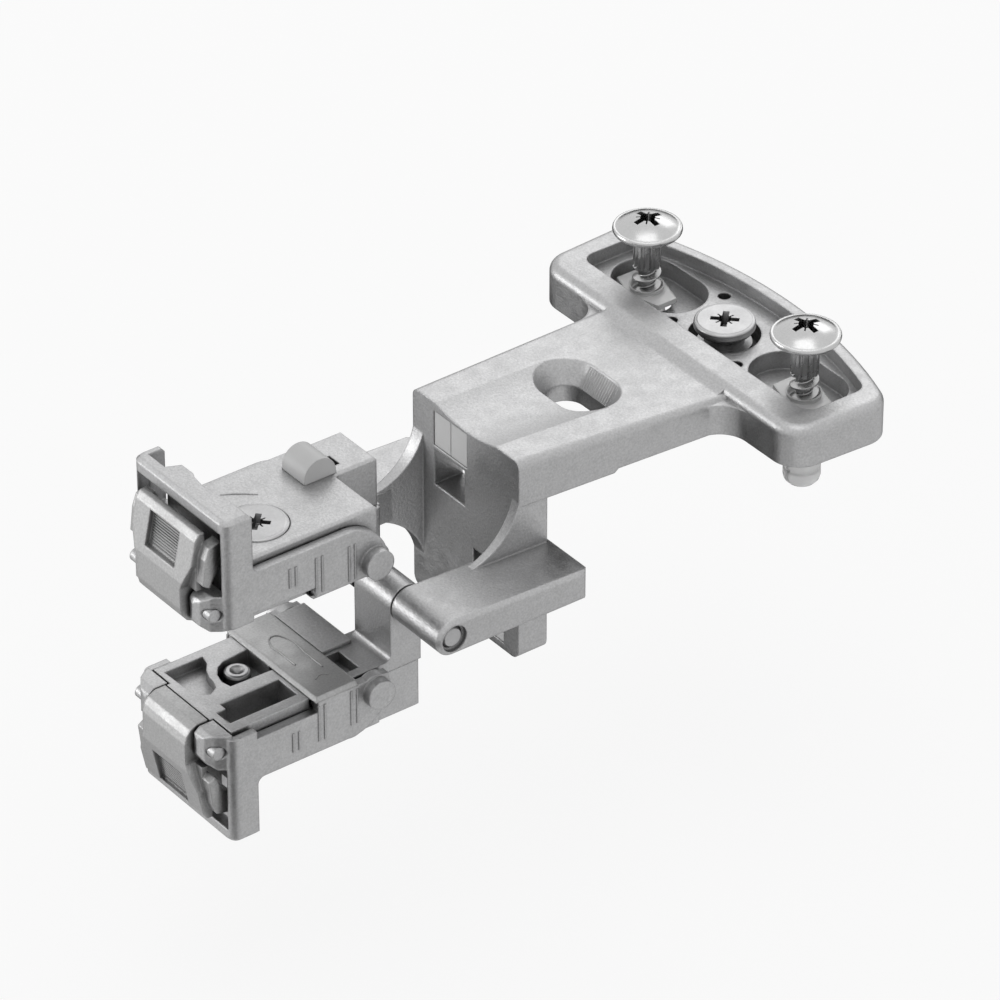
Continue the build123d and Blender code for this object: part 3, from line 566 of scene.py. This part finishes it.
# Serrated strip on one side of the slot across the arm, made upright and then laid on the countersink
SERRATION_AT = (-20.4, 0.0, 3.85)
SERRATION_SLOPE = math.radians(33)
STRIP_FACE_X, STRIP_BACK_X = 0.05, 0.8
STRIP_NEAR_Y, STRIP_FAR_Y = -3.9, 2.6
STRIP_BOTTOM, STRIP_TOP = -1.72, 1.34
TOOTH_BOTTOM, TOOTH_TOP = -1.62, 1.28
TOOTH_HALF_W = 0.13
TOOTH_COUNT = 15
TOOTH_STEP = 0.44
FIRST_TOOTH_Y = -3.7

teeth = bmesh.new()
block(teeth, STRIP_FACE_X, STRIP_BACK_X, STRIP_NEAR_Y, STRIP_FAR_Y, STRIP_BOTTOM, STRIP_TOP)
for k in range(TOOTH_COUNT):
    tooth = block(
        teeth, -TOOTH_HALF_W, TOOTH_HALF_W, -TOOTH_HALF_W, TOOTH_HALF_W, TOOTH_BOTTOM, TOOTH_TOP
    )
    swing(teeth, tooth, math.pi / 4)
    tooth_place = (STRIP_FACE_X, FIRST_TOOTH_Y + k * TOOTH_STEP, 0)
    bmesh.ops.translate(teeth, verts=tooth, vec=tooth_place)
swing(teeth, teeth.verts, SERRATION_SLOPE, "Y")
finish_piece("slot_serration", teeth, bracket_fine, "bracket", "satin_casting", SERRATION_AT)


# Raised lines and ribs on the clips, given as u, y and v
COVER_FACE_V = 7.2


def on_cover(*points):
    """Points u and y laid on the cover plate's face."""
    return [(u, y, COVER_FACE_V) for u, y in points]


EMBOSS_POINTS = on_cover(
    (-10.4, 4.5), (-10.4, 1.0), (-10.4, -3.0), (-11.65, -4.5), (-12.9, -3.0), (-12.9, -1.0), (-12.9, 2.2)
)
ARC_POINTS = on_cover((-12.7, 6.2), (-11.7, 5.7), (-10.7, 6.2))
RIDGE_POINTS = [(-18.3, 5.2, 16.28), (-16.5, 4.1, 16.32), (-14.6, 2.5, 16.28)]
EMBOSS_R = 0.13
ARC_R = 0.1
RIDGE_R = 0.14
WINDOW_U, WINDOW_V = -30.2, 15.2
WINDOW_SLOPE = 0.18
RIB_COUNT = 11
RIB_STEP = 0.36
FIRST_RIB_V = 15.6
RIB_HALF_W = 0.08
RIB_HALF_LENGTH = 2.95
RIB_PROUD, RIB_ROOT = 0.045, 0.2


def line_piece(name, points, radius, material, body, upper):
    """Fine raised line through a few curve points, on a clip."""
    data = bpy.data.curves.new(name, "CURVE")
    data.dimensions = "3D"
    data.bevel_depth = radius * MM
    data.bevel_resolution = 2
    data.use_fill_caps = True
    data.resolution_u = 10
    spline = data.splines.new("BEZIER")
    spline.bezier_points.add(len(points) - 1)
    sign = 1 if upper else -1
    pin_x, pin_y, pin_z = PIN_MIDDLE
    for knot, (u, y, v) in zip(spline.bezier_points, points):
        knot.co = ((pin_x + u) * MM, (pin_y + sign * y) * MM, (pin_z + sign * v) * MM)
        knot.handle_left_type = knot.handle_right_type = "AUTO"
    piece = bpy.data.objects.new(name, data)
    bpy.context.scene.collection.objects.link(piece)
    data.materials.append(material)
    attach(piece, body)


def window_ribs():
    """Fine ribs one above the other on the sloped floor of a lever's window."""
    ribs = bmesh.new()
    for k in range(RIB_COUNT):
        v = FIRST_RIB_V + k * RIB_STEP
        u = WINDOW_U + (v - WINDOW_V) * WINDOW_SLOPE
        block(
            ribs,
            u - RIB_PROUD, u + RIB_ROOT,
            -RIB_HALF_LENGTH, RIB_HALF_LENGTH,
            v - RIB_HALF_W, v + RIB_HALF_W,
        )
    return ribs


for upper in (True, False):
    side = "upper" if upper else "lower"
    arm = side + "_arm"
    latch = side + "_latch"
    line_piece(side + "_cover_emboss", EMBOSS_POINTS, EMBOSS_R, cover_metal, arm, upper)
    line_piece(side + "_cover_arc", ARC_POINTS, ARC_R, cover_metal, arm, upper)
    line_piece(
        side + "_housing_ridge", RIDGE_POINTS, RIDGE_R, housing_metal, arm, upper
    )
    finish_piece(
        side + "_lever_ribs", window_ribs(), latch_fine, latch, "latch_steel", **clip_place(upper)
    )


# Floor, background and lights, in metres. Each painted dark reflection's edge fades between two values
FLOOR_SIZE = 6.0
FLOOR_GAP = 0.025
FLOOR_GREY = (0.93, 0.93, 0.93)
FLOOR_GLOW = 0.82
REFLECTED_WHITE = (0.92, 0.92, 0.92)
# Colour of the painted dark reflections, seen only in glossy rays
PAINTED_REFLECTION_DARK = (0.07, 0.07, 0.07)
BACK_DARK_REFLECTION_Y = (-0.03, 0.03)
BACK_DARK_REFLECTION_X = (-0.13, -0.06)
SIDE_DARK_REFLECTION_MIDDLE = (-0.135, -0.06, 0.0)
SIDE_DARK_REFLECTION_R = (0.025, 0.065)
ROOM_LIGHT = 0.62


def combined(tree, operation, first, second):
    """A value joined with another value or with a plain number."""
    join = tree.nodes.new("ShaderNodeMath")
    join.operation = operation
    tree.links.new(first, join.inputs[0])
    if isinstance(second, float):
        join.inputs[1].default_value = second
    else:
        tree.links.new(second, join.inputs[1])
    return join.outputs[0]


def seen_by(tree, *kinds):
    """One for these kinds of ray, and nought for the others."""
    ray = tree.nodes.new("ShaderNodeLightPath")
    result = ray.outputs[kinds[0]]
    for kind in kinds[1:]:
        result = combined(tree, "MAXIMUM", result, ray.outputs[kind])
    return result


def mixed(tree, share, first, second):
    """The first shader, with a share of the second."""
    mix = tree.nodes.new("ShaderNodeMixShader")
    for socket, value in zip(mix.inputs, (share, first, second)):
        tree.links.new(value, socket)
    return mix.outputs[0]


def reflected_tone(tree):
    """White, but for a painted dark reflection behind the bracket and a small painted dark reflection
    that gives the clips a dark edge.
    """
    place = tree.nodes.new("ShaderNodeTexCoord").outputs["Object"]
    axes = tree.nodes.new("ShaderNodeSeparateXYZ")
    tree.links.new(place, axes.inputs[0])
    # Painted dark reflection behind the bracket, fading in along y and x
    behind = spread(tree, axes.outputs["Y"], 0.0, 1.0, *BACK_DARK_REFLECTION_Y)
    beside = spread(tree, axes.outputs["X"], 0.0, 1.0, *BACK_DARK_REFLECTION_X)
    back_dark_reflection = combined(tree, "MULTIPLY", behind, beside)
    flat = tree.nodes.new("ShaderNodeVectorMath")
    flat.operation = "MULTIPLY"
    flat.inputs[1].default_value = (1.0, 1.0, 0.0)
    tree.links.new(place, flat.inputs[0])
    # Small round painted dark reflection beside the clips
    way_off = tree.nodes.new("ShaderNodeVectorMath")
    way_off.operation = "DISTANCE"
    way_off.inputs[1].default_value = SIDE_DARK_REFLECTION_MIDDLE
    tree.links.new(flat.outputs[0], way_off.inputs[0])
    side_dark_reflection = spread(tree, way_off.outputs["Value"], 1.0, 0.0, *SIDE_DARK_REFLECTION_R)
    dark_reflections = combined(tree, "MAXIMUM", back_dark_reflection, side_dark_reflection)
    return tone(tree, dark_reflections, REFLECTED_WHITE, PAINTED_REFLECTION_DARK)


def floor_sheet():
    """Pale floor that keeps a soft shadow and shows white beside it."""
    shape = bmesh.new()
    bmesh.ops.create_grid(shape, x_segments=1, y_segments=1, size=FLOOR_SIZE)
    bmesh.ops.translate(shape, verts=shape.verts, vec=(0, 0, cad_box[0][2] - FLOOR_GAP))
    mesh = bpy.data.meshes.new("floor")
    shape.to_mesh(mesh)
    shape.free()
    sheet = bpy.data.objects.new("floor", mesh)
    bpy.context.scene.collection.objects.link(sheet)
    material = bpy.data.materials.new("floor")
    material.use_nodes = True
    mesh.materials.append(material)
    tree = material.node_tree
    lit = tree.nodes["Principled BSDF"]
    lit.inputs["Base Color"].default_value = (*FLOOR_GREY, 1.0)
    lit.inputs["Roughness"].default_value = 0.9
    lit.inputs["Specular IOR Level"].default_value = 0.0
    white = tree.nodes.new("ShaderNodeEmission")
    glow_share = combined(
        tree, "MULTIPLY", seen_by(tree, "Is Camera Ray", "Is Transmission Ray"), FLOOR_GLOW
    )
    seen = mixed(tree, glow_share, lit.outputs[0], white.outputs[0])
    reflected = tree.nodes.new("ShaderNodeEmission")
    tree.links.new(reflected_tone(tree), reflected.inputs["Color"])
    # Glossy rays see a painted reflection in place of the lit floor: white with two dark patches
    surface = mixed(tree, seen_by(tree, "Is Glossy Ray"), seen, reflected.outputs[0])
    tree.links.new(surface, tree.nodes["Material Output"].inputs["Surface"])


def lamp(name, place, aim, width, height, power):
    """Rectangular lamp that faces a point."""
    data = bpy.data.lights.new(name, "AREA")
    data.shape = "RECTANGLE"
    data.size = width
    data.size_y = height
    data.energy = power
    light = bpy.data.objects.new(name, data)
    light.location = place
    way = Vector(aim) - Vector(place)
    light.rotation_euler = way.to_track_quat("-Z", "Y").to_euler()
    bpy.context.scene.collection.objects.link(light)


floor_sheet()

# White background for the camera, in reflections and through plastic, softer light from the room
world = bpy.data.worlds.new("studio")
bpy.context.scene.world = world
world.use_nodes = True
world_tree = world.node_tree
background = world_tree.nodes["Background"]
background.inputs["Color"].default_value = (1.0, 1.0, 1.0, 1.0)
shown = seen_by(world_tree, "Is Camera Ray", "Is Glossy Ray", "Is Transmission Ray")
world_strength = spread(world_tree, shown, low=ROOM_LIGHT, high=1.0, start=0.0, end=1.0)
world_tree.links.new(world_strength, background.inputs["Strength"])

part_middle = (-0.04, 0.0, -0.01)
lamp("back_softbox", (0.62, 0.48, 0.50), part_middle, width=0.6, height=0.45, power=1.0)
lamp("left_softbox", (-0.75, 0.55, 0.10), part_middle, width=0.5, height=0.35, power=2.0)
lamp("top_softbox", (-0.1, -0.1, 1.1), part_middle, width=0.7, height=0.7, power=1.5)

bpy.context.scene.view_settings.view_transform = "Standard"
